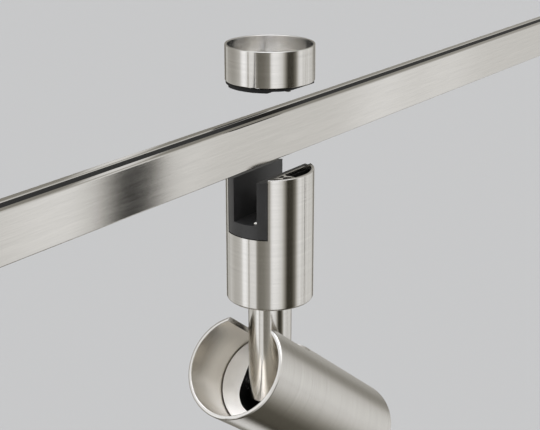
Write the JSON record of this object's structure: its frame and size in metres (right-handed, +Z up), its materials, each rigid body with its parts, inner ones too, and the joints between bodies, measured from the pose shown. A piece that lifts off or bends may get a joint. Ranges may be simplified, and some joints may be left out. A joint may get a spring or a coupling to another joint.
{
  "type": "track lighting fixture",
  "caption": "Rail spotlight in its exploded arrangement: flat rail, open round cap above it, slotted connector below, and a swivelling stem that carries a tilting slotted tube lamp.",
  "frame": {"origin": "on the rail's top face, over the vertical axis of the cap, connector and stem", "axes": "+X along the rail, towards the side the lamp shines to; +Z up; the stem and cap are on the Z axis"},
  "size_m": [0.46, 0.0466, 0.2243],
  "materials": {
    "brushed_nickel": "fine lines round the piece, satin",
    "rail_metal": "fine lines along the rail, satin",
    "turned_aluminium": "turned, satin",
    "sink_aluminium": "matte",
    "screw_steel": "bright zinc",
    "contact_brass": "polished",
    "black_plastic": "matte",
    "ivory_plastic": "matte",
    "black_rubber": "matte",
    "lead_brown": "satin",
    "lead_blue": "satin",
    "board_white": "matte",
    "phosphor": "matte",
    "reflector_mirror": "polished",
    "lens_glass": "clear"
  },
  "bodies": {
    "rail": {"rail_conductor_front": "rail_metal", "rail_conductor_back": "rail_metal", "rail_insulator": "black_plastic"},
    "cap": {"cap_shell": "brushed_nickel", "rail_grip_pad": "black_rubber", "grip_pad_screw": "screw_steel"},
    "cap_screw_front": {"cap_screw_front": "screw_steel"},
    "cap_screw_back": {"cap_screw_back": "screw_steel"},
    "connector": {"connector_shell": "brushed_nickel", "slot_liner": "black_plastic", "contact_block": "ivory_plastic", "contact_block_screw_front": "screw_steel", "contact_block_screw_back": "screw_steel", "connector_base": "brushed_nickel", "swivel_bush": "ivory_plastic", "thrust_washer": "screw_steel"},
    "contact_front": {"contact_pin_front": "contact_brass", "contact_spring_front": "screw_steel"},
    "contact_back": {"contact_pin_back": "contact_brass", "contact_spring_back": "screw_steel"},
    "stem": {"stem_tube": "brushed_nickel", "stem_nut": "screw_steel", "stem_grommet": "black_rubber", "stem_lead_live": "lead_brown", "stem_lead_neutral": "lead_blue"},
    "head": {"head_tube": "brushed_nickel", "pivot_housing": "turned_aluminium", "pivot_pin": "screw_steel", "pivot_washer_front": "screw_steel", "pivot_washer_back": "screw_steel", "heat_sink": "sink_aluminium", "sink_screw_left": "screw_steel", "sink_screw_right": "screw_steel", "head_lead_live": "lead_brown", "head_lead_neutral": "lead_blue", "led_board": "board_white", "led_emitter": "phosphor", "led_holder": "black_plastic", "holder_screw_left": "screw_steel", "holder_screw_right": "screw_steel", "reflector": "reflector_mirror", "lens": "lens_glass", "lens_gasket": "black_rubber", "lens_ring": "brushed_nickel"}
  },
  "joints": [
    {"name": "cap_lift", "type": "slide", "parent": "rail", "child": "cap", "axis": [0, 0, 1], "range_m": [-0.01205, 0]},
    {"name": "cap_screw_front_turn", "type": "hinge", "parent": "cap", "child": "cap_screw_front", "pos_m": [-0.0058, -0.0132, 0.0166], "axis": [0, 0, 1], "continuous": true},
    {"name": "cap_screw_back_turn", "type": "hinge", "parent": "cap", "child": "cap_screw_back", "pos_m": [0.0058, 0.0132, 0.0166], "axis": [0, 0, 1], "continuous": true},
    {"name": "connector_lift", "type": "slide", "parent": "rail", "child": "connector", "axis": [0, 0, 1], "range_m": [0, 0.0242]},
    {"name": "contact_front_press", "type": "slide", "parent": "connector", "child": "contact_front", "axis": [0, 0, 1], "range_m": [-0.002, 0], "stiffness_N_per_m": 250, "springref_m": 0.0015, "deforming": ["contact_spring_front"]},
    {"name": "contact_back_press", "type": "slide", "parent": "connector", "child": "contact_back", "axis": [0, 0, 1], "range_m": [-0.002, 0], "stiffness_N_per_m": 250, "springref_m": 0.0015, "deforming": ["contact_spring_back"]},
    {"name": "stem_swivel", "type": "hinge", "parent": "connector", "child": "stem", "pos_m": [0, 0, -0.0805], "axis": [0, 0, 1], "range_deg": [-175, 175]},
    {"name": "head_tilt", "type": "hinge", "parent": "stem", "child": "head", "pos_m": [0, 0, -0.12626], "axis": [0, 1, 0], "range_deg": [-36.5, 53.4]}
  ]
}
